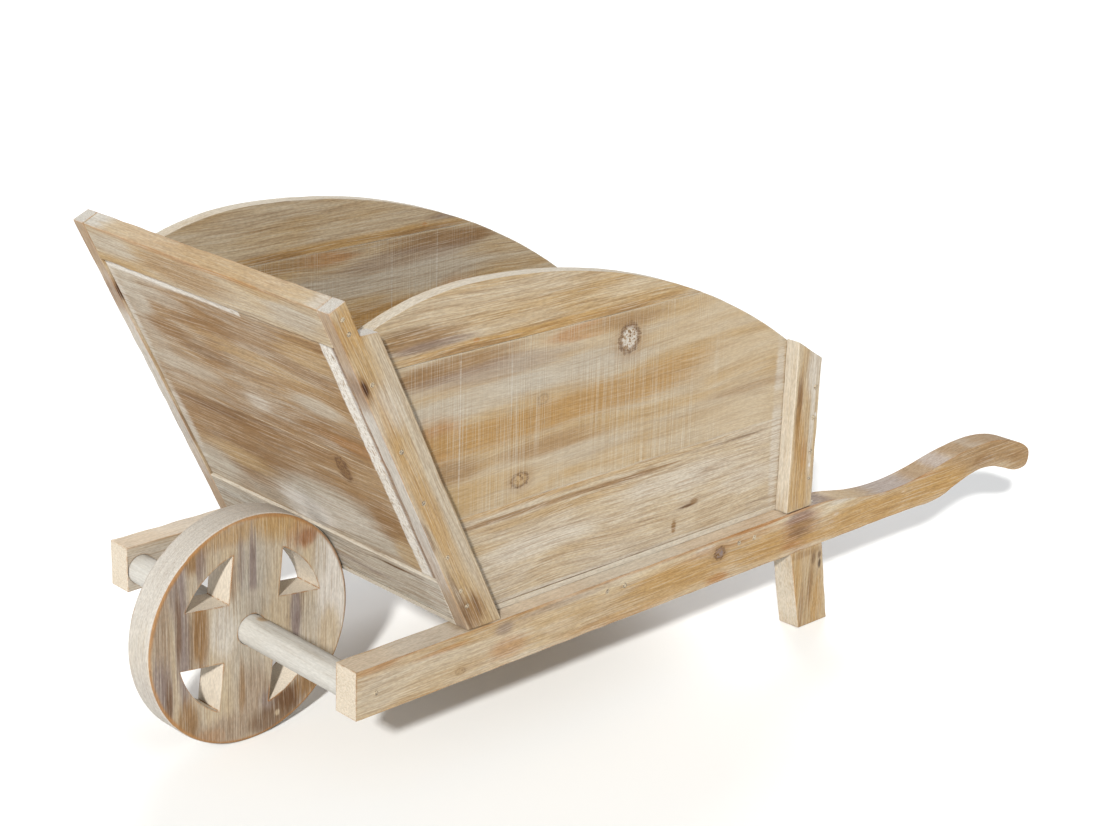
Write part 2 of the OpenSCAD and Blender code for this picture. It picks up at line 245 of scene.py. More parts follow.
class Timber(Graph):
    """Whitewashed wood. u runs along the grain, v across it and w out of the face, in mm."""

    def __init__(self, name, origin, along, across, seed):
        super().__init__(name)
        self.seed = seed
        out = along.cross(across)
        coordinates = self.node("ShaderNodeTexCoord")
        place = self.vector("SUBTRACT", coordinates.outputs["Object"], tuple(origin))
        self.u = self.vector("DOT_PRODUCT", place, tuple(along / MM))
        self.v = self.vector("DOT_PRODUCT", place, tuple(across / MM))
        self.w = self.vector("DOT_PRODUCT", place, tuple(out / MM))
        self.flat = self.join(self.u, self.v, 0.0)
        normal = coordinates.outputs["Normal"]
        facing = self.math("ABSOLUTE", self.vector("DOT_PRODUCT", normal, tuple(out)))
        ending = self.math("ABSOLUTE", self.vector("DOT_PRODUCT", normal, tuple(along)))
        self.on_face = self.step(facing, 0.55, 0.75)
        self.on_end = self.step(ending, 0.6, 0.8)

    def distance(self, u, v, half_u, half_v):
        """Distance from a spot on the face, in its own half sizes."""
        place = self.vector("SUBTRACT", self.flat, (u, v, 0.0))
        return self.vector("LENGTH", self.vector("MULTIPLY", place, (1 / half_u, 1 / half_v, 0.0)))

    def rim_path(self, path, rim):
        """On a turned rim the fine lines run round it instead of along the grain."""
        if not rim:
            return path
        radius = self.vector("LENGTH", self.flat)
        on_rim = self.math("MULTIPLY", self.step(radius, rim - 3, rim - 1.5),
                           self.math("SUBTRACT", 1.0, self.on_face))
        around = self.math("MULTIPLY", self.math("ARCTAN2", self.u, self.v), rim)
        turned = self.vector("SUBTRACT", self.join(around, radius, self.w), path)
        turned = self.vector("MULTIPLY", turned, self.join(on_rim, on_rim, on_rim))
        return self.vector("ADD", path, turned)

    def grain(self, knots, sway, pith, ring_width, rim):
        """Makes the grain's noises and growth rings, which bend round the knots and sway."""
        self.knots = []
        v = self.v
        wander = self.noise(self.join(self.u, self.v, self.seed), WANDER, 1.0)
        v = self.math("ADD", v, self.math("MULTIPLY", self.math("SUBTRACT", wander, 0.5), sway))
        for knot in knots:
            ku, kv, half_u, half_v = knot[:4]
            near = self.distance(ku, kv, half_u * 2.2, half_v * 1.8)
            pull = self.step(near, 1.0, 0.0, 0.0, 0.75)
            offset = self.math("SUBTRACT", self.v, kv)
            v = self.math("SUBTRACT", v, self.math("MULTIPLY", pull, offset))
            self.knots.append((self.distance(ku, kv, half_u, half_v), knot))
        path = self.join(self.u, v, self.w)
        path = self.vector("ADD", path, tuple(self.seed * shift for shift in SEED_SHIFT))
        self.path = path
        self.broad = self.noise(path, BROAD, 2.0, 0.5)
        self.fine = self.noise(path, FINE, 4.0, 0.62)
        self.pores = self.noise(self.rim_path(path, rim), PORES, 2.0, 0.5)
        self.fibre = self.noise(path, FIBRE, 1.0, 0.5)
        self.cloud = self.noise(path, CLOUD, 3.0, 0.55)
        across = self.math("SUBTRACT", v, pith[0])
        below = self.math("SUBTRACT", self.w, pith[1])
        ring = self.vector("LENGTH", self.join(0.0, across, below))
        bend = self.math("MULTIPLY", self.cloud, 16.0)
        ring = self.math("DIVIDE", self.math("ADD", ring, bend), ring_width)
        turn = self.math("FRACT", ring)
        late = self.math("MULTIPLY", self.step(turn, 0.2, 0.85), self.step(turn, 1.0, 0.88))
        self.ring = self.math("MULTIPLY", late, self.step(self.fine, 0.4, 0.62, 0.15, 1.0))
        ragged = self.math("ADD", self.math("MULTIPLY", self.broad, 0.8),
                           self.math("MULTIPLY", self.fine, 1.1))
        self.ragged = self.math("SUBTRACT", ragged, 0.95)

    def body_colour(self, light, middle):
        """The wood itself: soft bands of two tones along the grain."""
        return self.mix(self.step(self.broad, 0.36, 0.64), light, middle)

    def add_marks(self, colour, marks, where=None):
        """Stains, rubbed places, thick wash and a few lines of painted shade: (u, v, half u, half v,
        tone, strength).
        """
        for u, v, half_u, half_v, tone, strength in marks:
            reach = self.math("ADD", self.distance(u, v, half_u, half_v), self.ragged)
            share = self.step(reach, 1.3, 0.5, 0.0, strength)
            if where:
                share = self.math("MULTIPLY", share, where)
            colour = self.mix(share, colour, tone)
        return colour

    def add_wash(self, colour, tone, amount):
        """Whitewash that thins out in soft clouds."""
        cover = self.math("ADD", self.math("MULTIPLY", self.cloud, 0.6),
                          self.math("MULTIPLY", self.fine, 0.4))
        return self.mix(self.step(cover, 0.42, 0.60, 0.0, amount), colour, tone)

    def add_lines(self, colour, contrast, ring_share):
        """Thin dark lines of the grain, growth rings, and pale lines where wash stayed in it."""
        bare = self.math("SUBTRACT", 1.0, self.math("MULTIPLY", self.cover, 0.45))
        bare = self.math("MULTIPLY", bare, contrast)
        stained = self.mix(1.0, colour, LINE_SHADE, "MULTIPLY")
        pale = self.mix(0.55, colour, CREAM)
        layers = [(self.step(self.fine, 0.50, 0.64, 0.0, 0.45), stained),
                  (self.math("MULTIPLY", self.ring, ring_share), stained),
                  (self.step(self.pores, 0.46, 0.36, 0.0, 0.75), pale),
                  (self.step(self.pores, 0.52, 0.62, 0.0, 0.65), stained),
                  (self.step(self.fine, 0.66, 0.72, 0.0, 0.5), UMBER)]
        for share, tone in layers:
            colour = self.mix(self.math("MULTIPLY", share, bare), colour, tone)
        return colour

    def add_fibres(self, colour, depth):
        """Small light and dark flecks of the fibres."""
        shade = self.step(self.fibre, 0.30, 0.70, 1.0 - depth, 1.0 + depth)
        return self.mix(1.0, colour, self.join(shade, shade, shade), "MULTIPLY")

    def add_bands(self, colour, bands):
        """Straight-edged bands where wash built up, and strips of painted shade: (u, v, half u, half
        v, tone, strength).
        """
        waver = self.math("MULTIPLY", self.math("SUBTRACT", self.cloud, 0.5), 5.0)
        outside = self.step(self.math("ABSOLUTE", self.w), 7.0, 5.0)
        for u, v, half_u, half_v, tone, strength in bands:
            side_u = self.math("ABSOLUTE", self.math("SUBTRACT", self.u, u))
            side_v = self.math("ABSOLUTE", self.math("SUBTRACT", self.v, v))
            in_u = self.step(self.math("ADD", side_u, waver), half_u + 1.2, half_u - 1.2)
            in_v = self.step(self.math("ADD", side_v, waver), half_v + 1.2, half_v - 1.2)
            stretch = BAND_ALONG if half_u > half_v else BAND_ACROSS
            cover = self.step(self.noise(self.path, stretch, 4.0, 0.7), 0.36, 0.52, 0.25, 1.0)
            share = self.math("MULTIPLY", self.math("MULTIPLY", in_u, in_v), cover)
            share = self.math("MULTIPLY", share, outside)
            colour = self.mix(self.math("MULTIPLY", share, strength), colour, tone)
        return colour

    def add_rim(self, colour, rim):
        """The wheel's arris is rubbed to golden wood, and the walls inside its rim are painted paler,
        as painted light.
        """
        radius = self.vector("LENGTH", self.flat)
        # Painted light on the walls inside the rim
        inside = self.math("MULTIPLY", self.step(radius, rim - 8, rim - 12),
                           self.math("SUBTRACT", 1.0, self.on_face))
        colour = self.mix(self.math("MULTIPLY", inside, 0.85), colour, PAINTED_WALL_LIGHT)
        waver = self.math("MULTIPLY", self.math("SUBTRACT", self.cloud, 0.5), 6.0)
        near = self.step(self.math("ADD", radius, waver), rim - 4.5, rim - 1.5)
        share = self.math("MULTIPLY", self.math("MULTIPLY", near, self.on_face), 0.85)
        return self.mix(share, colour, RUBBED)

    def add_seam_shade(self, colour, across, distance):
        """A thin dark line of dirt and painted shade where another timber meets the face: its
        direction, and mm to it.
        """
        slope = math.atan2(across.z, across.x)
        place = self.vector("DOT_PRODUCT", self.flat, (math.cos(slope), math.sin(slope), 0.0))
        gap = self.math("ABSOLUTE", self.math("SUBTRACT", place, distance))
        outside = self.step(self.math("ABSOLUTE", self.w), 3.0, 1.5)
        share = self.math("MULTIPLY", self.step(gap, 1.5, 0.5, 0.0, 0.85), outside)
        return self.mix(share, colour, DARK)

    def add_knots(self, colour):
        """Knots: a marbled heart, a broken dark rim and a brown shadow along the grain."""
        grit = self.noise(self.flat, KNOT_GRIT, 4.0, 0.7)
        rough = self.math("MULTIPLY", self.math("SUBTRACT", grit, 0.5), 1.1)
        for reach, (_, _, _, _, heart, strength) in self.knots:
            reach = self.math("ADD", reach, rough)
            colour = self.mix(self.step(reach, 2.3, 1.0, 0.0, 0.4 * strength), colour, BROWN)
            marble = self.mix(self.step(grit, 0.42, 0.55), BROWN, heart)
            colour = self.mix(self.step(reach, 1.0, 0.75, 0.0, strength), colour, marble)
            rim = self.math("ABSOLUTE", self.math("SUBTRACT", reach, 0.95))
            gaps = self.step(self.pores, 0.35, 0.55, 0.3, 1.0)
            broken = self.math("MULTIPLY", self.step(rim, 0.3, 0.05), gaps)
            colour = self.mix(self.math("MULTIPLY", broken, 0.95 * strength), colour, UMBER)
            crack = self.math("MULTIPLY", self.step(grit, 0.43, 0.36), self.step(reach, 1.05, 0.85))
            colour = self.mix(self.math("MULTIPLY", crack, 0.8 * strength), colour, DARK)
        return colour

    def add_saw_marks(self, colour, low, high, strength):
        """Fine pale lines that a saw left across the grain, from u = low to u = high."""
        place = self.join(self.u, self.v, self.seed)
        line = self.noise(place, SAW_LINES, 2.0, 0.8)
        group = self.noise(place, SAW_GROUPS, 1.0)
        broken = self.step(self.fine, 0.62, 0.40, 0.65, 1.0)
        start = self.step(self.u, low, low + 20)
        inside = self.math("MULTIPLY", start, self.step(self.u, high, high - 40))
        here = self.math("MULTIPLY", inside, self.step(group, 0.34, 0.60, 0.25, 1.0))
        here = self.math("MULTIPLY", here, broken)
        self.saw = self.math("MULTIPLY", self.step(line, 0.47, 0.62), here)
        colour = self.mix(self.math("MULTIPLY", self.saw, strength), colour, CREAM)
        furrow = self.math("MULTIPLY", self.step(line, 0.44, 0.34, 0.0, 0.35), here)
        return self.mix(furrow, colour, BROWN)

    def add_side_tones(self, colour, narrow, end, marks):
        """The narrow faces and the sawn ends have tones, (tone, strength), and marks of their own."""
        not_face = self.math("SUBTRACT", 1.0, self.on_face)
        patch = self.math("ADD", self.math("MULTIPLY", self.cloud, 0.5),
                          self.math("MULTIPLY", self.fine, 0.5))
        mottle = self.step(patch, 0.34, 0.56, 0.55, 1.0)
        self.cover = self.math("MULTIPLY", self.math("MULTIPLY", not_face, mottle), narrow[1])
        colour = self.mix(self.cover, colour, narrow[0])
        colour = self.add_marks(colour, marks, not_face)
        pits = self.noise(self.path, END_PITS, 3.0, 0.7)
        on_end = self.math("MULTIPLY", self.on_end, self.step(pits, 0.30, 0.50, 0.5, 1.0))
        return self.mix(self.math("MULTIPLY", on_end, end[1]), colour, end[0])

    def add_arris(self, colour, tone, strength):
        """Wear along the arrises, broken up by the grain."""
        bevel = self.node("ShaderNodeBevel", samples=4)
        bevel.inputs["Radius"].default_value = ARRIS_WIDTH
        geometry = self.node("ShaderNodeNewGeometry")
        same = self.vector("DOT_PRODUCT", bevel.outputs[0], geometry.outputs["Normal"])
        edge = self.step(same, 0.995, 0.90)
        patch = self.noise(self.path, ARRIS_PATCHES, 2.0)
        worn = self.math("MULTIPLY", edge, self.step(patch, 0.38, 0.60, 0.15, strength))
        return self.mix(worn, colour, tone)

    def done(self, colour, saw_height):
        """The finished material, with a bump of the grain, its rings and its saw marks."""
        height = self.math("ADD", self.math("MULTIPLY", self.fine, 0.9),
                           self.math("MULTIPLY", self.fibre, 0.35))
        height = self.math("SUBTRACT", height, self.math("MULTIPLY", self.ring, 0.25))
        if saw_height:
            height = self.math("ADD", height, self.math("MULTIPLY", self.saw, saw_height))
        roughness = self.step(self.fine, 0.2, 0.8, 0.72, 0.92)
        return self.finish(colour, roughness, height, GRAIN_DEPTH, 0.22)


def wood(name, origin, along, across, seed, light, middle, marks=(), knots=(), wash=(WASH, 0.35),
         narrow=(CHALK, 0.5), end=(CHALK, 0.4), arris=(ORANGE, 0.6), sway=16.0, pith=(40.0, -60.0),
         ring_width=4.2, ring_share=0.4, contrast=0.6, fibre_depth=0.1, saw=None, bands=(),
         rim=0.0, seam_shade=None, side_marks=()):
    """One whitewashed timber: its own grain, marks, knots, wash and worn arrises.

    wash, narrow, end and arris are (tone, strength): of the whitewash, the narrow faces, the sawn
    ends and the worn arrises. pith is (v, w), the middle of the growth rings. ring_width, sway and
    rim, a wheel's radius, are in mm. saw is (from u, to u, strength). seam is a direction and mm.
    """
    timber = Timber(name, origin, along, across, seed)
    timber.grain(knots, sway, pith, ring_width, rim)
    colour = timber.body_colour(light, middle)
    colour = timber.add_wash(colour, *wash)
    colour = timber.add_marks(colour, marks)
    colour = timber.add_side_tones(colour, narrow, end, side_marks)
    colour = timber.add_lines(colour, contrast, ring_share)
    colour = timber.add_bands(colour, bands)
    if rim:
        colour = timber.add_rim(colour, rim)
    colour = timber.add_knots(colour)
    colour = timber.add_fibres(colour, fibre_depth)
    if saw:
        colour = timber.add_saw_marks(colour, *saw)
    if seam_shade:
        colour = timber.add_seam_shade(colour, *seam_shade)
    colour = timber.add_arris(colour, *arris)
    return timber.done(colour, SAW_HEIGHT if saw else 0.0)


# ---- Worn pieces made from the CAD solids ----

WELD = 0.01 * MM
CUT_TOLERANCE = 0.0001 * MM
FLAT_ANGLE = math.radians(0.3)
SHARP_ANGLE = math.radians(28)
ARRIS_ANGLE = math.radians(9)
# Waves of the faces, and long and short dents of the arrises, per metre
FACE_WAVES = 14
LONG_DENTS = 24
SHORT_DENTS = 60
WEAR_SHIFT = (3.1, 1.7, 2.3)


def slice_across(mesh, direction, step):
    """Cuts the mesh into strips, so that its arrises can wear unevenly along their length."""
    heights = [vertex.co.dot(direction) for vertex in mesh.verts]
    low, high = min(heights), max(heights)
    count = max(2, round((high - low) / step))
    for i in range(1, count):
        place = direction * (low + (high - low) * i / count)
        everything = mesh.verts[:] + mesh.edges[:] + mesh.faces[:]
        bmesh.ops.bisect_plane(mesh, geom=everything, dist=CUT_TOLERANCE, plane_co=place,
                               plane_no=direction)


def wear_down(mesh, wear, wave, seed):
    """Moves the arrises in by an uneven amount, and lets the faces wave a little."""
    shift = Vector([seed * part for part in WEAR_SHIFT])
    moves = []
    mesh.normal_update()
    for vertex in mesh.verts:
        normals = [face.normal for face in vertex.link_faces]
        turn = max((a.angle(b, 0.0) for a in normals for b in normals), default=0.0)
        move = wave * noise.noise(vertex.co * FACE_WAVES + shift)
        if turn > ARRIS_ANGLE:
            dent = noise.noise(vertex.co * SHORT_DENTS + shift)
            dent += 0.6 * noise.noise(vertex.co * LONG_DENTS - shift)
            move -= wear * max(0.0, dent + 0.15)
        moves.append(vertex.normal * move)
    for vertex, move in zip(mesh.verts, moves):
        vertex.co += move


def worn_piece(node, direction, material, round_off=1.1 * MM, wear=0.8 * MM, wave=0.2 * MM,
               step=6 * MM, seed=1):
    """A piece that stands for a CAD node: the same solid with hand-worn arrises.

    direction is along the timber, which is cut into strips of the given step to wear unevenly.
    """
    mesh = bmesh.new()
    mesh.from_mesh(frame["nodes"][node].data)
    bmesh.ops.remove_doubles(mesh, verts=mesh.verts, dist=WELD)
    bmesh.ops.dissolve_limit(mesh, angle_limit=FLAT_ANGLE, verts=mesh.verts, edges=mesh.edges)
    sharp = [edge for edge in mesh.edges
             if edge.is_manifold and edge.calc_face_angle() > SHARP_ANGLE]
    bmesh.ops.bevel(mesh, geom=sharp, offset=round_off, offset_type="OFFSET", segments=3,
                    profile=0.5, affect="EDGES", clamp_overlap=True)
    if step:
        slice_across(mesh, direction, step)
    if wear:
        wear_down(mesh, wear, wave, seed)
    for face in mesh.faces:
        face.smooth = True
    data = bpy.data.meshes.new(node + "_worn")
    mesh.to_mesh(data)
    mesh.free()
    data.materials.append(material)
    piece = bpy.data.objects.new(node + "_worn", data)
    bpy.context.scene.collection.objects.link(piece)
    shading = piece.modifiers.new("Weighted normals", "WEIGHTED_NORMAL")
    shading.keep_sharp = True
    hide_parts(node)
    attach(piece, BODY_OF[node])


# ---- Sides of the box ----

# The marks and knots were written to stand for those in the photo. A mark is
# (u, v, half u, half v, tone, strength) and a knot (u, v, half u, half v, heart, strength), in mm.
# On the sides and rails u and v start at the rail's front end and top edge. On posts and legs
# u is the height above the rail and v starts at the front. On the front u starts at the middle.
# On the wheel both start at the hub: u goes up and v back.

SIDE_PLACE = (Vector((RAIL_FRONT, BOARD_FACE, RAIL_TOP)), X, Z)

# Wash built up along the rear post
REAR_POST_WASH = (477, 100, 6, 140, CHALK, 0.7)
LOWER_MARKS = [
    REAR_POST_WASH, (170, 86, 120, 4, GOLD, 0.7), (330, 84, 70, 3, TAN, 0.6),
    (190, 77, 110, 2.5, BROWN, 0.75), (210, 70, 100, 4, TAN, 0.7), (300, 76, 60, 1.6, BROWN, 0.7),
    (420, 80, 50, 1.4, UMBER, 0.5), (360, 60, 70, 12, CHALK, 0.5), (190, 46, 70, 9, CHALK, 0.4),
    (352, 18, 3, 7, BROWN, 0.9), (368, 33, 13, 1.6, UMBER, 0.95), (376, 35, 6, 3, BROWN, 0.7),
    (150, 6, 300, 3, CHALK, 0.6), (110, 56, 50, 5, TAN, 0.6), (270, 30, 80, 6, TAN, 0.35),
    (440, 40, 40, 12, CHALK, 0.35), (250, 5, 300, 0.9, UMBER, 0.9)]
MIDDLE_MARKS = [
    REAR_POST_WASH, (105, 208, 64, 8, BROWN, 0.8), (75, 207, 26, 9, BROWN, 0.7),
    (150, 198, 80, 9, PLUM, 0.45), (238, 212, 40, 7, ORANGE, 0.7), (315, 211, 70, 8, TAN, 0.8),
    (290, 212, 40, 6, BROWN, 0.55), (130, 180, 90, 12, WASH, 0.7), (250, 187, 44, 9, HUSK, 0.95),
    (130, 215, 50, 3, BROWN, 0.6), (240, 182, 80, 13, WASH, 0.7), (360, 190, 60, 12, BEIGE, 0.6),
    (88, 154, 28, 18, ORANGE, 0.7), (150, 149, 110, 13, AMBER, 0.95),
    (260, 153, 120, 13, AMBER, 0.9), (355, 163, 70, 9, AMBER, 0.7), (215, 127, 70, 8, HAZEL, 0.95),
    (310, 129, 80, 6, TAN, 0.75), (100, 126, 38, 10, BROWN, 0.65), (135, 108, 54, 9, TAN, 0.7),
    (250, 112, 60, 8, WASH, 0.45), (430, 158, 70, 16, BEIGE, 0.8), (440, 124, 50, 4, BROWN, 0.4),
    (440, 105, 70, 9, BEIGE, 0.7), (110, 155, 0.8, 68, CHALK, 0.45),
    (162, 178, 0.8, 34, CHALK, 0.4)]
UPPER_MARKS = [
    (66, 237, 44, 9, BROWN, 0.75), (80, 230, 40, 4, PLUM, 0.6), (55, 245, 26, 4, UMBER, 0.35),
    (200, 223, 160, 5, GOLD, 0.85), (125, 221, 44, 3, BROWN, 0.7), (150, 252, 90, 8, BEIGE, 0.5),
    (125, 226, 3, 2, ORANGE, 0.7), (284, 221, 34, 5, BROWN, 0.6), (120, 268, 120, 3, TAN, 0.5),
    (320, 238, 90, 8, PALE, 0.5)]
MIDDLE_KNOTS = [(288, 196, 11, 12, CHALK, 1.0), (173, 104, 9, 6, TAN, 0.8), (195, 165, 6, 4, TAN, 0.4)]

# The line on the boards where the back of the front post meets them, drawn dark as dirt and painted
# shade
POST_CORNERS = frame["nodes"]["left_front_post"].data.vertices
POST_BACK = max(corner.co.dot(INTO_BOX) for corner in POST_CORNERS)
POST_SEAM_SHADE = (INTO_BOX, (POST_BACK - SIDE_PLACE[0].dot(INTO_BOX)) / MM)

left_lower = wood("left_lower_board", *SIDE_PLACE, 1, BEIGE, BEIGE, LOWER_MARKS, wash=(CHALK, 0.35),
                  narrow=(CREAM, 0.85), end=(CHALK, 0.6), pith=(20, -90), arris=(CHALK, 0.5),
                  contrast=0.8, seam_shade=POST_SEAM_SHADE)
left_middle = wood("left_middle_board", *SIDE_PLACE, 2, BEIGE, TAN, MIDDLE_MARKS, MIDDLE_KNOTS,
                   wash=(HUSK, 0.45), narrow=(CREAM, 0.85), end=(CHALK, 0.6), pith=(150, -110),
                   arris=(CHALK, 0.5), contrast=0.3, fibre_depth=0.07, saw=(50, 420, 0.38),
                   seam_shade=POST_SEAM_SHADE)
left_upper = wood("left_upper_board", *SIDE_PLACE, 3, BEIGE, TAN, UPPER_MARKS, wash=(HUSK, 0.45),
                  narrow=(CREAM, 0.85), end=(CHALK, 0.6), pith=(300, -70), arris=(TAN, 0.5),
                  contrast=0.7, seam_shade=POST_SEAM_SHADE)

SIDE_BOARDS = {"lower": left_lower, "middle": left_middle, "upper": left_upper}
for layer, (board, material) in enumerate(SIDE_BOARDS.items()):
    worn_piece(f"left_side_board_{board}", X, material, 0.4 * MM, 0.3 * MM, seed=layer + 1)

# The right side has marks like the left side's, turned end for end: u becomes MARKS_TURN - u
MARKS_TURN = 440
RIGHT_SIDE_PLACE = (Vector((RAIL_FRONT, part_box("right_side_board_lower")[1].y, RAIL_TOP)), X, Z)
# Marks, knots and saw marks of each board
RIGHT_BOARDS = {"lower": (LOWER_MARKS, [(120, 45, 9, 7, UMBER, 0.7)], None),
                "middle": (MIDDLE_MARKS, [(250, 132, 9, 7, UMBER, 0.7)], (60, 400, 0.3)),
                "upper": (UPPER_MARKS, [], None)}
for layer, (board, (marks, knots, saw)) in enumerate(RIGHT_BOARDS.items()):
    turned = [(MARKS_TURN - u, *rest) for u, *rest in marks]
    material = wood(f"right_{board}_board", *RIGHT_SIDE_PLACE, layer + 11, BEIGE, TAN, turned, knots,
                    wash=(HUSK, 0.45), narrow=(CREAM, 0.8), end=(CHALK, 0.6), pith=(60 * layer, -90),
                    arris=(CHALK, 0.5), contrast=0.6, saw=saw, seam_shade=POST_SEAM_SHADE)
    worn_piece(f"right_side_board_{board}", X, material, 0.4 * MM, 0.3 * MM, seed=layer + 11)

# ---- Leaning front ----

FRONT_PLACE = (FRONT_FOOT, Y, UP_SLOPE)

FRONT_UPPER_MARKS = [
    (95, 267, 60, 4, CHALK, 0.8), (124, 240, 20, 28, WASH, 0.9), (146, 215, 9, 60, CHALK, 0.9),
    (85, 250, 40, 9, WASH, 0.6), (-80, 195, 28, 9, WASH, 0.7), (5, 171, 18, 9, CHALK, 0.55),
    (50, 205, 40, 6, UMBER, 0.45), (95, 218, 34, 10, BROWN, 0.85), (-30, 222, 60, 9, TAN, 0.5),
    (-110, 165, 50, 8, ORANGE, 0.4), (-10, 244, 80, 9, BROWN, 0.6), (-80, 230, 50, 8, BROWN, 0.5),
    (100, 178, 50, 10, WASH, 0.6), (-100, 250, 40, 14, TAN, 0.6), (125, 190, 20, 26, WASH, 0.5)]
FRONT_LOWER_MARKS = [
    (-20, 141, 60, 15, BROWN, 0.8), (70, 132, 80, 22, BROWN, 0.8), (30, 148, 60, 6, UMBER, 0.5),
    (90, 138, 60, 5, UMBER, 0.45), (-30, 84, 72, 24, WASH, 1.0), (-110, 93, 22, 20, BROWN, 0.8),
    (-60, 60, 70, 16, WASH, 1.0), (-20, 72, 70, 20, CHALK, 0.8), (8, 60, 34, 17, FROST, 1.0),
    (80, 88, 60, 14, TAN, 0.7), (125, 66, 44, 22, WASH, 1.0), (-118, 62, 16, 18, TAN, 0.7),
    (145, 100, 10, 50, CHALK, 0.8), (60, 56, 40, 10, WASH, 0.7)]
front_upper = wood("front_upper_board", *FRONT_PLACE, 5, HAZEL, BROWN, FRONT_UPPER_MARKS,
                   wash=(WASH, 0.45), narrow=(CREAM, 0.8), pith=(240, -80), arris=(TAN, 0.3),
                   contrast=0.62,
                   # The plum band beside the post is painted shade; the residue bands are thick wash.
                   bands=[(-133, 210, 7, 64, RESIDUE, 1.0), (-144, 210, 5, 64, PLUM, 0.5),
                          (60, 268, 90, 3, RESIDUE, 0.8)])
front_lower = wood("front_lower_board", *FRONT_PLACE, 6, HAZEL, BROWN, FRONT_LOWER_MARKS,
                   [(-79, 134, 7, 12, UMBER, 1.0)], wash=(WASH, 0.35), narrow=(CREAM, 0.8),
                   pith=(90, -70), arris=(TAN, 0.3), contrast=0.62,
                   # The plum band beside the post is painted shade; the residue band is thick wash.
                   bands=[(-133, 97, 6.5, 56, RESIDUE, 0.95), (-143, 97, 5, 56, PLUM, 0.5)])
top_rail = wood("front_top_rail", *FRONT_PLACE, 7, BEIGE, TAN,
                [(30, 290, 60, 14, HAZEL, 0.8), (120, 292, 40, 12, WASH, 0.7),
                 (-110, 290, 34, 12, WASH, 0.8), (0, 306, 150, 3, ORANGE, 0.45)],
                wash=(WASH, 0.45), narrow=(PALE, 0.6), arris=(ORANGE, 0.7), contrast=0.6,
                side_marks=[(150, 300, 30, 60, MILK, 0.8), (-150, 300, 20, 60, CHALK, 0.7),
                            (-20, 300, 60, 60, TAN, 0.5)])
# The bottom rail's first mark, a thin dark line along its seam with the lower board, is painted shade.
bottom_rail = wood("front_bottom_rail", *FRONT_PLACE, 8, ASH, WASH,
                   [(-98, 40, 34, 1.6, UMBER, 1.0), (-135, 22, 12, 20, CHALK, 0.6),
                    (40, 24, 90, 3, HAZEL, 0.5), (-40, 20, 60, 4, PLUM, 0.4)],
                   wash=(CHALK, 0.3), narrow=(CREAM, 0.9), arris=(CREAM, 0.6), contrast=1.0)
worn_piece("front_board_upper", Y, front_upper, 0.4 * MM, 0.3 * MM, seed=5)
worn_piece("front_board_lower", Y, front_lower, 0.4 * MM, 0.3 * MM, seed=6)
worn_piece("front_top_rail", Y, top_rail, 1.2 * MM, 0.7 * MM, seed=7)
worn_piece("front_bottom_rail", Y, bottom_rail, 1.0 * MM, 0.6 * MM, seed=8)

# ---- Posts ----

FRONT_POST_MARKS = [
    (213, 12, 26, 12, CHALK, 0.6), (239, 3, 15, 5, BROWN, 0.8), (239, 2.5, 8, 3, SOOT_AND_SHADE, 1.0),
    (285, 1, 16, 2.5, BROWN, 0.7), (98, 1, 18, 2.5, UMBER, 0.6), (12, 12, 18, 12, BROWN, 0.9),
    (30, 4, 34, 3, UMBER, 0.6), (14, 16, 16, 2, UMBER, 0.6), (170, 8, 80, 6, GOLD, 0.6),
    (100, 12, 50, 7, GOLD, 0.55), (120, 25, 120, 5, WASH, 0.5), (285, 10, 22, 10, GOLD, 0.8)]
for side, node in enumerate(("left_front_post", "right_front_post")):
    place = Vector((FRONT_FOOT.x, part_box(node)[side].y, RAIL_TOP))
    post = wood(node, place, UP_SLOPE, INTO_BOX, 20 + side, BEIGE, TAN, FRONT_POST_MARKS,
                wash=(WASH, 0.3), narrow=(LILAC, 0.75), end=(MILK, 0.9), arris=(ORANGE, 0.6),
                sway=4.0, pith=(60, -40), ring_width=3.2, contrast=0.6,
                side_marks=[(285, 0, 30, 60, HAZEL, 0.6), (150, 0, 70, 60, MILK, 0.6),
                            (235, 0, 16, 60, BROWN, 0.5), (20, 0, 20, 60, HAZEL, 0.5)])
    worn_piece(node, UP_SLOPE, post, 1.0 * MM, 0.6 * MM, seed=20 + side)

REAR_POST_MARKS = [
    (30, 14, 40, 16, GOLD, 0.7), (98, 7, 34, 4, BROWN, 0.9), (72, 9, 26, 6, AMBER, 0.8),
    (112, 6, 14, 2, UMBER, 0.5), (130, 22, 30, 9, CHALK, 0.8), (70, 25, 50, 3.5, CHALK, 0.7),
    (52, 17, 18, 4, ORANGE, 0.4), (86, 29, 2.5, 1.5, FROST, 0.9), (40, 26, 2, 1.5, FROST, 0.9)]
for side, node in enumerate(("left_rear_post", "right_rear_post")):
    place = Vector((REAR_POST_LOW.x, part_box(node)[side].y, RAIL_TOP))
    post = wood(node, place, Z, X, 24 + side, BEIGE, TAN, REAR_POST_MARKS, wash=(WASH, 0.35),
                narrow=(CREAM, 0.95), end=(CREAM, 0.8), arris=(CREAM, 0.6), sway=8.0, pith=(50, -40),
                ring_width=3.2)
    worn_piece(node, Z, post, 1.0 * MM, 0.6 * MM, seed=24 + side)

# ---- Rails with their handles ----

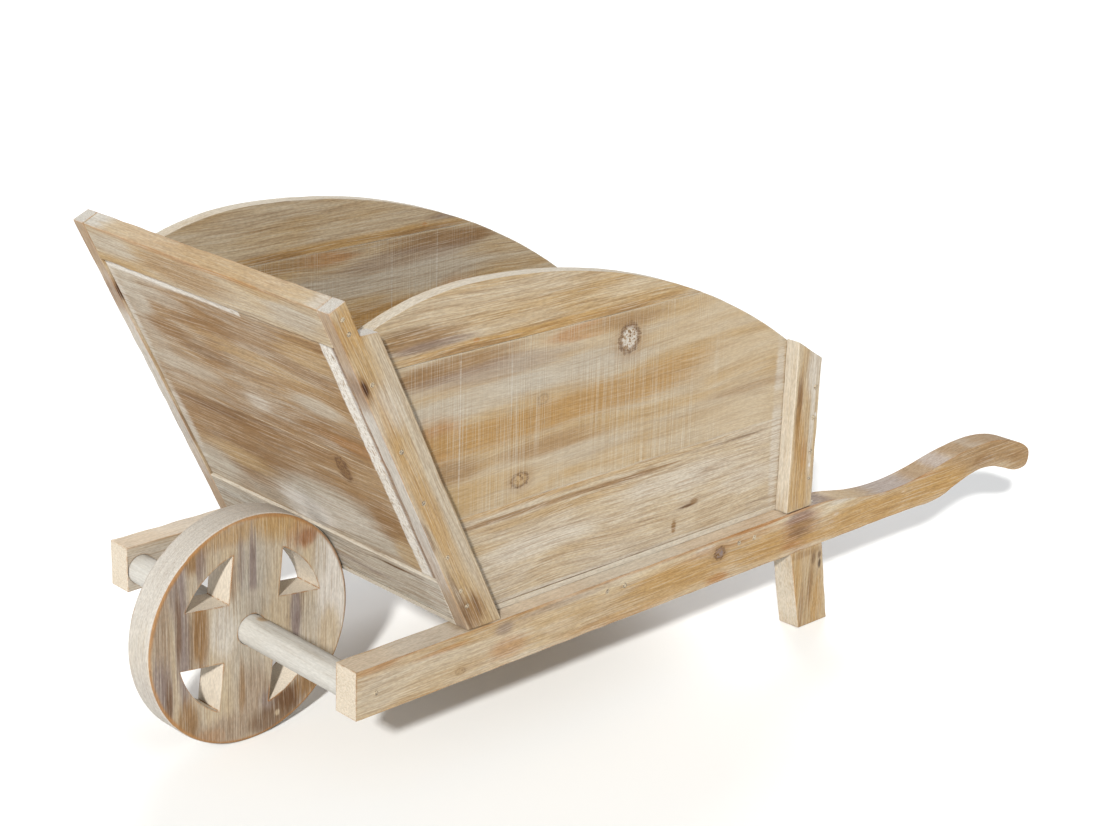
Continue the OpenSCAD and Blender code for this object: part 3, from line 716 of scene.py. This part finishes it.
RAIL_MARKS = [
    (26, -22, 24, 14, WASH, 0.6), (75, -16, 40, 9, WASH, 0.5), (85, -8, 30, 3, ORANGE, 0.5),
    (20, -3, 22, 3, ORANGE, 0.5), (147, -8, 12, 6, PLUM, 0.6), (152, -26, 22, 10, ORANGE, 0.5),
    (205, -24, 20, 6, CHALK, 0.4), (215, -14, 50, 7, TAN, 0.6), (275, -35, 66, 4, ORANGE, 0.6),
    (200, -5, 60, 3, PLUM, 0.4), (394, -35, 16, 5, ORANGE, 0.8), (378, -5, 14, 3, CHALK, 0.5),
    (330, -20, 50, 12, GOLD, 0.6), (440, -1, 40, 2.5, ORANGE, 0.8), (460, -24, 56, 14, GOLD, 0.9),
    (350, -22, 80, 14, GOLD, 0.85), (410, -8, 60, 5, ORANGE, 0.4), (500, -7, 17, 5, PLUM, 0.8),
    (503, -20, 28, 18, RUST, 0.5), (505, -15, 18, 3.5, BROWN, 0.8),
    (501, -21, 17, 3.5, UMBER, 0.65), (507, -27, 13, 3, BROWN, 0.8),
    (490, -31, 16, 2.5, ORANGE, 0.6), (540, -28, 3.5, 1.6, FROST, 0.8),
    (546, -23, 4, 1.6, FROST, 0.9), (552, -17, 4, 1.6, FROST, 0.8), (560, -3, 16, 5, CHALK, 0.6),
    (618, -14, 6, 1.5, FROST, 0.9), (650, -20, 3, 1.2, FROST, 0.8), (600, -27, 90, 15, GOLD, 0.9),
    (690, -27, 60, 15, GOLD, 0.8), (610, -4, 60, 5, WASH, 0.7), (668, -3, 26, 5, CHALK, 0.8),
    (600, 0, 70, 2.5, PLUM, 0.5), (680, -12, 40, 2, ORANGE, 0.7), (720, -22, 40, 16, GOLD, 0.9),
    (745, 0, 44, 14, HAZEL, 0.9), (795, -10, 60, 22, HAZEL, 1.0), (775, -18, 16, 6, BROWN, 0.8),
    (842, -28, 30, 16, HAZEL, 1.0), (820, -26, 30, 3, BROWN, 0.6),
    (300, -1, 300, 1.6, ORANGE, 0.45), (260, -28, 90, 12, TAN, 0.6), (60, -24, 60, 14, BEIGE, 0.7)]
RIGHT_RAIL_MARKS = [
    (40, -20, 90, 24, CHALK, 0.8), (150, -30, 60, 6, ORANGE, 0.4), (240, -10, 80, 10, TAN, 0.6),
    (330, -26, 60, 10, GOLD, 0.6), (430, -14, 50, 12, BROWN, 0.4), (505, -20, 16, 16, UMBER, 0.5),
    (600, -27, 90, 14, GOLD, 0.8), (620, -4, 70, 5, WASH, 0.7), (700, -20, 50, 14, GOLD, 0.8),
    (790, -10, 70, 22, HAZEL, 0.9), (300, -1, 300, 1.6, ORANGE, 0.45)]
# On the rails' narrow faces. The first two marks are painted shade: dark lines at the feet of the rear
# and front posts.
RAIL_TOP_MARKS = [
    (500, 0, 17, 2.5, SOOT_AND_SHADE, 0.9), (122, 0, 15, 2.5, SOOT_AND_SHADE, 0.8), (534, 0, 17, 30, PLUM, 0.9),
    (590, 0, 50, 80, TAN, 0.7), (640, 0, 34, 80, LILAC, 0.9), (630, 0, 40, 80, PLUM, 0.35),
    (690, 0, 30, 80, HAZEL, 0.8), (712, 0, 16, 80, LILAC, 0.8), (750, 0, 30, 80, HAZEL, 0.9),
    (768, 0, 14, 80, CHALK, 0.5), (810, 0, 50, 80, HAZEL, 0.9), (845, 0, 20, 80, BROWN, 0.6),
    (80, 0, 40, 80, CHALK, 0.5), (120, 0, 14, 80, TAN, 0.5), (300, 0, 60, 80, CREAM, 0.6)]
# Marks and knots of each rail
RAILS = {"left_rail": (RAIL_MARKS, [(396, -13, 6.5, 5.5, PLUM, 1.0), (102, -31, 5, 3, TAN, 0.3)]),
         "right_rail": (RIGHT_RAIL_MARKS, [(268, -18, 6, 5, UMBER, 0.8)])}
for side, (node, (marks, knots)) in enumerate(RAILS.items()):
    place = Vector((RAIL_FRONT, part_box(node)[side].y, RAIL_TOP))
    rail = wood(node, place, X, Z, 30 + side, PALE, TAN, marks, knots, wash=(CHALK, 0.3),
                narrow=(LEDGE, 0.95), end=(CREAM, 0.6), arris=(ORANGE, 0.7), sway=8.0,
                pith=(-70, -30), ring_width=3.6, contrast=0.6, side_marks=RAIL_TOP_MARKS)
    worn_piece(node, X, rail, 1.6 * MM, 0.6 * MM, seed=30 + side)

# ---- Legs, bearers, floor and rear ----

LEG_MARKS = [
    (-75, 12, 34, 7, GOLD, 0.6), (-100, 40, 30, 9, GOLD, 0.8), (-78, 30, 28, 4, BROWN, 0.8),
    (-98, 20, 28, 3.5, BROWN, 0.7), (-52, 32, 9, 4, UMBER, 0.7), (-60, 41, 5, 2, DARK, 0.9),
    (-51, 40, 4, 2.5, UMBER, 0.8), (-45, 20, 4, 26, BROWN, 0.5)]
for side, node in enumerate(("left_leg", "right_leg")):
    place = Vector((LEG_LOW.x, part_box(node)[side].y, RAIL_TOP))
    leg = wood(node, place, Z, X, 40 + side, BEIGE, TAN, LEG_MARKS, wash=(WASH, 0.3),
               narrow=(CREAM, 0.85), end=(TAN, 0.6), arris=(ORANGE, 0.6), sway=8.0, pith=(60, -40),
               ring_width=3.4)
    worn_piece(node, Z, leg, 1.3 * MM, 0.7 * MM, seed=40 + side)

floor_wood = wood("floor_sheet", SIDE_PLACE[0], X, Y, 50, TAN, BEIGE, wash=(WASH, 0.4),
                  narrow=(CREAM, 0.98), end=(CREAM, 0.98), arris=(CREAM, 0.7), pith=(150, -400),
                  ring_width=9.0)
worn_piece("floor_sheet", X, floor_wood, 0.5 * MM, 0.5 * MM, wave=0.1 * MM, seed=50)
for number, node in enumerate(("front_bearer", "rear_bearer")):
    bearer = wood(node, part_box(node)[0], Y, X, 52 + number, TAN, BARE, wash=(WASH, 0.2),
                  narrow=(TAN, 0.3))
    worn_piece(node, Y, bearer, seed=52 + number)
for number, node in enumerate(("rear_board_lower", "rear_board_upper")):
    low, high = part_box(node)
    rear = wood(node, Vector((high.x, 0, low.z)), Y, Z, 56 + number, BEIGE, TAN,
                knots=[(40 - 110 * number, 34, 8, 6, UMBER, 0.8)], wash=(WASH, 0.5),
                narrow=(CREAM, 0.7), end=(CHALK, 0.6), arris=(CHALK, 0.5))
    worn_piece(node, Y, rear, 0.8 * MM, 0.7 * MM, seed=56 + number)

# ---- Axle and wheel ----

axle_wood = wood("axle", AXLE, Y, X, 60, MILK, MILK, wash=(MILK, 0.5), narrow=(MILK, 0.6),
                 end=(CREAM, 0.6), arris=(CHALK, 0.2), contrast=0.3, fibre_depth=0.06, sway=4.0,
                 marks=[(-26, 3, 6, 5, GOLD, 0.7), (-80, -4, 70, 3, ASH, 0.5)], pith=(0, 0))
worn_piece("axle", Y, axle_wood, 0.8 * MM, 0.0, seed=60)

WHEEL_MARKS = [
    (84, -20, 12, 50, DUN, 0.7), (82, 25, 16, 34, TAN, 0.9), (84, 0, 10, 60, GOLD, 0.5),
    (68, 52, 14, 18, ORANGE, 0.5), (64, 56, 8, 12, RUST, 0.8), (74, -52, 14, 12, BROWN, 0.9),
    (65, -72, 34, 12, PLUM, 0.7), (66, -46, 16, 5, PLUM, 0.7), (52, 4, 34, 18, ASH, 0.7),
    (45, 2, 44, 4, PLUM, 0.9), (60, -9, 24, 4, PLUM, 0.6), (46, -17, 26, 4, DUN, 0.9),
    (8, -26, 30, 15, CHALK, 1.0), (22, 0, 12, 24, WASH, 0.8), (12, -48, 34, 9, BROWN, 0.95),
    (5, -64, 66, 7, PLUM, 0.9), (10, -82, 66, 9, DUN, 0.9), (20, -68, 34, 2.5, UMBER, 0.7),
    (0, -57, 40, 2, UMBER, 0.5), (-35, -84, 36, 12, PLUM, 0.9), (-45, -78, 30, 4, UMBER, 0.8),
    (-64, -62, 24, 12, BROWN, 0.9), (50, 82, 50, 14, FROST, 1.0), (4, 80, 50, 20, FROST, 0.95),
    (44, 68, 24, 8, CHALK, 0.8), (4, 43, 26, 6, PLUM, 1.0), (14, 50, 20, 2, UMBER, 0.5),
    (-12, 60, 26, 10, WASH, 0.7), (-28, 76, 26, 12, BEIGE, 0.9), (-26, -4, 26, 18, WASH, 0.8),
    (-56, 2, 26, 18, DUN, 0.9), (-52, -10, 30, 3, BROWN, 0.7), (-80, -25, 16, 34, DUN, 0.9),
    (-82, -44, 10, 16, ORANGE, 0.4), (-66, 20, 12, 12, PLUM, 0.8), (-70, 34, 14, 16, UMBER, 1.0),
    (-84, 20, 12, 26, UMBER, 0.8), (-80, 24, 3, 2.5, BEIGE, 0.9), (-62, 58, 16, 14, BROWN, 0.9)]
wheel_wood = wood("wheel", Vector((AXLE.x, WHEEL_LOW.y, AXLE.z)), Z, X, 70, WASH, BEIGE, WHEEL_MARKS,
                  wash=(WASH, 0.35), narrow=(WALL, 1.0), end=(WALL, 0.9), arris=(ORANGE, 1.0),
                  sway=6.0, pith=(-30, -80), ring_width=5.0, contrast=0.62, fibre_depth=0.1,
                  rim=(WHEEL_HIGH.z - WHEEL_LOW.z) / 2 / MM)
worn_piece("wheel", Z, wheel_wood, 1.0 * MM, 0.5 * MM, wave=0.1 * MM, seed=70)

# ---- Nails and screws ----

# Specks of paint on the heads, per metre
SPECKS = (900.0, 900.0, 900.0)


def nail_metal():
    """Dull steel heads, mostly painted over with wash."""
    graph = Graph("nail_steel")
    place = graph.node("ShaderNodeTexCoord").outputs["Object"]
    spots = graph.noise(place, SPECKS, 3.0, 0.6)
    colour = graph.mix(graph.step(spots, 0.42, 0.6), NAIL_WASH, NAIL_STEEL)
    roughness = graph.step(spots, 0.3, 0.7, 0.7, 0.42)
    return graph.finish(colour, roughness, spots, 0.1 * MM, 0.5)


nail_steel = nail_metal()
for node in ("front_nails", "side_nails", "rear_nails", "floor_nails", "axle_nails", "bearer_nails",
             "post_screws", "leg_nails"):
    worn_piece(node, Z, nail_steel, 0.3 * MM, 0.0, step=0)

# ---- Floor, light and camera ----

# Wide enough, in metres, that no view sees its edge
FLOOR_SIZE = 400
FLOOR_TONES = ((0.90, 0.90, 0.895, 1.0), (0.93, 0.93, 0.925, 1.0))
FLOOR_MOTTLE = (3.0, 3.0, 3.0)
# The world's brightness at the horizon and overhead, and the heights between which it changes
HORIZON_GLOW, OVERHEAD_GLOW = 0.98, 0.42
HAZE_LOW, HAZE_HIGH = 0.02, 0.30
WORLD_COLOUR = (0.97, 0.98, 0.99, 1.0)


def pale_floor():
    """Off-white paper, very slightly mottled."""
    graph = Graph("studio_floor")
    place = graph.node("ShaderNodeTexCoord").outputs["Object"]
    mottle = graph.noise(place, FLOOR_MOTTLE, 2.0)
    colour = graph.mix(mottle, *FLOOR_TONES)
    return graph.finish(colour, 0.9, mottle, 0.01 * MM, 0.1)


bpy.ops.mesh.primitive_plane_add(size=FLOOR_SIZE, location=(0, 0, 0))
floor = bpy.context.object
floor.name = "studio_floor"
floor.data.materials.append(pale_floor())
floor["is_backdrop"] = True


def sun_light(name, source, energy, width, colour):
    """A distant light from the given direction, as wide across as the given degrees."""
    light = bpy.data.lights.new(name, "SUN")
    light.energy = energy
    light.angle = math.radians(width)
    light.color = colour
    lamp = bpy.data.objects.new(name, light)
    lamp.rotation_mode = "QUATERNION"
    lamp.rotation_quaternion = Vector(source).to_track_quat("Z", "Y")
    bpy.context.scene.collection.objects.link(lamp)


sun_light("key", source=(-1.3, -1.0, 0.95), energy=4.15, width=3.5, colour=(0.985, 0.98, 0.95))
sun_light("fill", source=(1.1, 1.2, 1.0), energy=1.9, width=35.0, colour=(0.97, 0.98, 1.0))


def studio_world():
    """Pale all round: dimmer overhead, and as bright as the floor near the horizon."""
    world = bpy.data.worlds.new("studio")
    world.use_nodes = True
    nodes, links = world.node_tree.nodes, world.node_tree.links
    background = nodes["Background"]
    background.inputs["Color"].default_value = WORLD_COLOUR
    direction = nodes.new("ShaderNodeTexCoord").outputs["Generated"]
    split = nodes.new("ShaderNodeSeparateXYZ")
    links.new(direction, split.inputs[0])
    haze = nodes.new("ShaderNodeMapRange")
    haze.interpolation_type = "SMOOTHSTEP"
    links.new(split.outputs["Z"], haze.inputs[0])
    settings = (HAZE_LOW, HAZE_HIGH, HORIZON_GLOW, OVERHEAD_GLOW)
    for socket, setting in zip(haze.inputs[1:5], settings):
        socket.default_value = setting
    links.new(haze.outputs[0], background.inputs["Strength"])
    return world


bpy.context.scene.world = studio_world()
bpy.context.scene.view_settings.view_transform = "Standard"

# The photo's viewpoint, fitted to the straight edges of the barrow
CAMERA_PLACE = Vector((-1.2896, -1.2785, 0.8283))
VIEW_TURN, VIEW_DROP, CAMERA_ROLL = math.radians(45.63), math.radians(19.43), math.radians(1.96)
FOCAL_LENGTH, SENSOR_WIDTH = 71.1, 36.0
look = Vector((math.cos(VIEW_DROP) * math.cos(VIEW_TURN),
               math.cos(VIEW_DROP) * math.sin(VIEW_TURN), -math.sin(VIEW_DROP)))
lens = bpy.data.cameras.new("camera")
lens.lens = FOCAL_LENGTH
lens.sensor_width = SENSOR_WIDTH
camera = bpy.data.objects.new("camera", lens)
camera.location = CAMERA_PLACE
camera.rotation_euler = look.to_track_quat("-Z", "Y").to_euler()
camera.rotation_euler.rotate_axis("Z", CAMERA_ROLL)
bpy.context.scene.collection.objects.link(camera)
bpy.context.scene.camera = camera

# ---- Size of the finished model ----

low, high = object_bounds()
